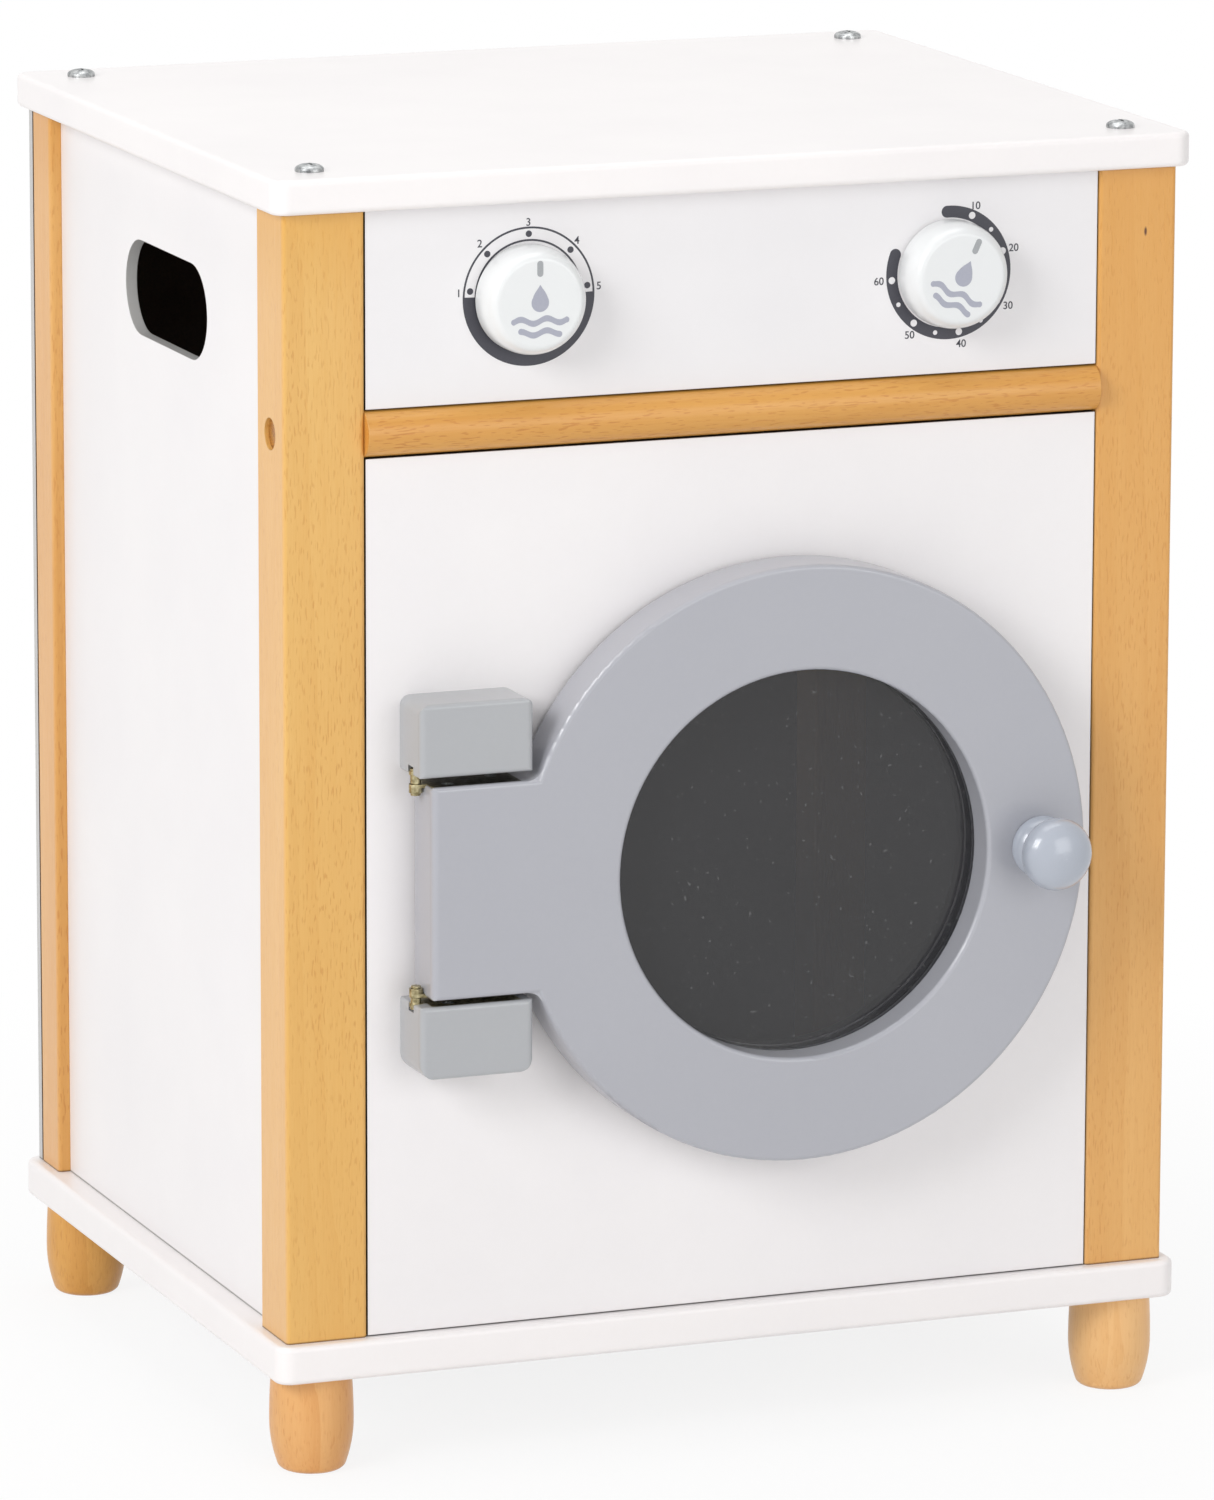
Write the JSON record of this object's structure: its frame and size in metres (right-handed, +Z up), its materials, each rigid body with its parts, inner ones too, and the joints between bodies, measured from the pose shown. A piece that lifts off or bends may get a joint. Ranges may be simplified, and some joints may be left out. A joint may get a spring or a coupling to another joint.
{
  "type": "toy washing machine",
  "caption": "Wooden toy washing machine on turned feet, with posts, panels, a round windowed door that swings on pivot hinges and two turning dials.",
  "frame": {"origin": "on the floor, at the middle of the whole footprint, from the tip of the door knob to the boards' rear edge", "axes": "+Z up, the front faces -Y, the door hinges are on the -X side"},
  "size_m": [0.45, 0.4314, 0.6056],
  "materials": {
    "beech": "clear satin lacquer",
    "white_board": "white satin lacquer",
    "white_panel": "white satin lacquer",
    "dial_white": "white satin lacquer",
    "grey_paint": "blue-grey satin paint",
    "tinted_acrylic": "dark tinted, clear",
    "hinge_brass": "brass-plated",
    "zinc": "zinc-plated"
  },
  "bodies": {
    "cabinet": {"top_board": "white_board", "bottom_board": "white_board", "front_left_post": "beech", "front_right_post": "beech", "rear_left_post": "beech", "rear_right_post": "beech", "left_side_panel": "white_panel", "right_side_panel": "white_panel", "back_panel": "white_panel", "back_panel_screws": "zinc", "control_panel": "white_panel", "front_panel": "white_panel", "control_panel_cleats": "beech", "front_panel_cleats": "beech", "cleat_screws": "zinc", "panel_screws": "zinc", "front_rail": "beech", "front_left_foot": "beech", "front_right_foot": "beech", "rear_left_foot": "beech", "rear_right_foot": "beech", "foot_bolts": "zinc", "top_screws": "zinc", "upper_hinge_block": "grey_paint", "lower_hinge_block": "grey_paint", "hinge_block_screws": "zinc", "upper_block_leaf": "hinge_brass", "lower_block_leaf": "hinge_brass", "block_leaf_screws": "zinc", "hinge_pins": "hinge_brass", "catch_magnet": "zinc"},
    "door": {"door_frame": "grey_paint", "upper_door_leaf": "hinge_brass", "lower_door_leaf": "hinge_brass", "door_leaf_screws": "zinc", "door_window": "tinted_acrylic", "window_retainer": "grey_paint", "retainer_screws": "zinc", "door_knob": "grey_paint", "door_knob_screw": "zinc", "catch_plate": "zinc", "catch_plate_screw": "zinc"},
    "program_knob": {"program_dial": "dial_white", "program_spindle": "beech", "program_washer": "zinc", "program_screw": "zinc"},
    "timer_knob": {"timer_dial": "dial_white", "timer_spindle": "beech", "timer_washer": "zinc", "timer_screw": "zinc"}
  },
  "joints": [
    {"name": "door_hinge", "type": "hinge", "parent": "cabinet", "child": "door", "pos_m": [-0.161, -0.17175, 0.2755], "axis": [0, 0, -1], "range_deg": [0, 120]},
    {"name": "program_turn", "type": "hinge", "parent": "cabinet", "child": "program_knob", "pos_m": [-0.102, -0.15755, 0.542], "axis": [0, -1, 0], "continuous": true},
    {"name": "timer_turn", "type": "hinge", "parent": "cabinet", "child": "timer_knob", "pos_m": [0.105, -0.15755, 0.542], "axis": [0, -1, 0], "continuous": true}
  ]
}
